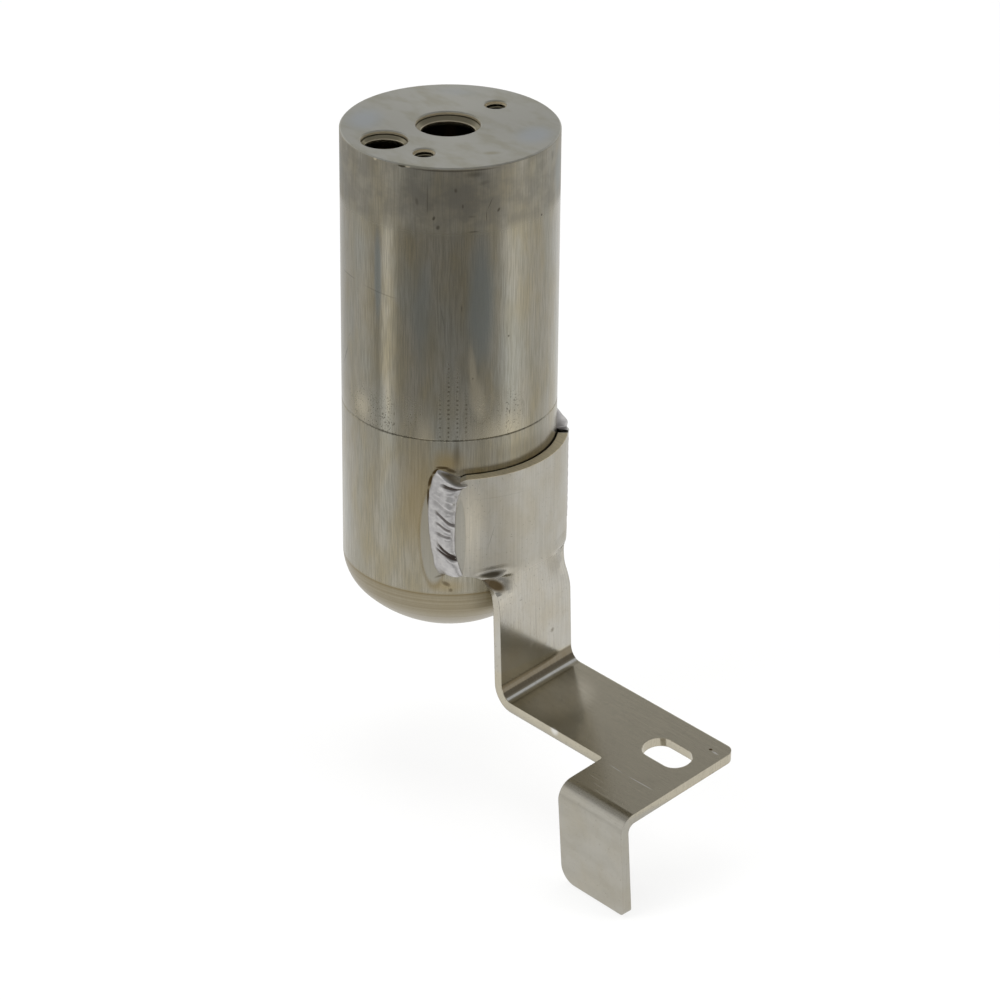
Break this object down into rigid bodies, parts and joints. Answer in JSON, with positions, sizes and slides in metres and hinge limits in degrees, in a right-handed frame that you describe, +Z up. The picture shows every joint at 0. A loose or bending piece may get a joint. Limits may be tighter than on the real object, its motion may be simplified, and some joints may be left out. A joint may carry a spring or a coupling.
{
  "type": "receiver drier",
  "caption": "Air-conditioning receiver drier: an upright aluminium can with a domed end, ports and screw holes in its flat head, and a welded folded bracket.",
  "frame": {"origin": "on the can's axis, in the plane of the head's top face, where the connector block of the lines is bolted", "axes": "+Z up along the can's axis, out of the head; +X the way the bracket's foot reaches; +Y across the bracket, away from its tab"},
  "size_m": [0.1323, 0.06, 0.1919],
  "materials": {
    "can_aluminium": "brushed along the can",
    "dome_aluminium": "drawn and spun, heat-tinted near the weld",
    "bracket_aluminium": "rolled sheet, satin, finely scratched",
    "weld_aluminium": "bright rippled weld metal",
    "tube_aluminium": "drawn",
    "plate_aluminium": "pressed",
    "spring_steel": "drawn wire",
    "filter_felt": "needled felt",
    "desiccant_beads": "beads of molecular sieve",
    "strainer_nylon": "moulded"
  },
  "bodies": {
    "root": {"upper_shell": "can_aluminium", "lower_shell": "dome_aluminium", "bracket": "bracket_aluminium", "front_weld_bead": "weld_aluminium", "rear_weld_bead": "weld_aluminium", "pickup_tube": "tube_aluminium", "tube_strainer": "strainer_nylon", "upper_plate": "plate_aluminium", "lower_plate": "plate_aluminium", "upper_filter_pad": "filter_felt", "lower_filter_pad": "filter_felt", "desiccant_bed": "desiccant_beads", "hold_down_spring": "spring_steel"}
  },
  "joints": []
}
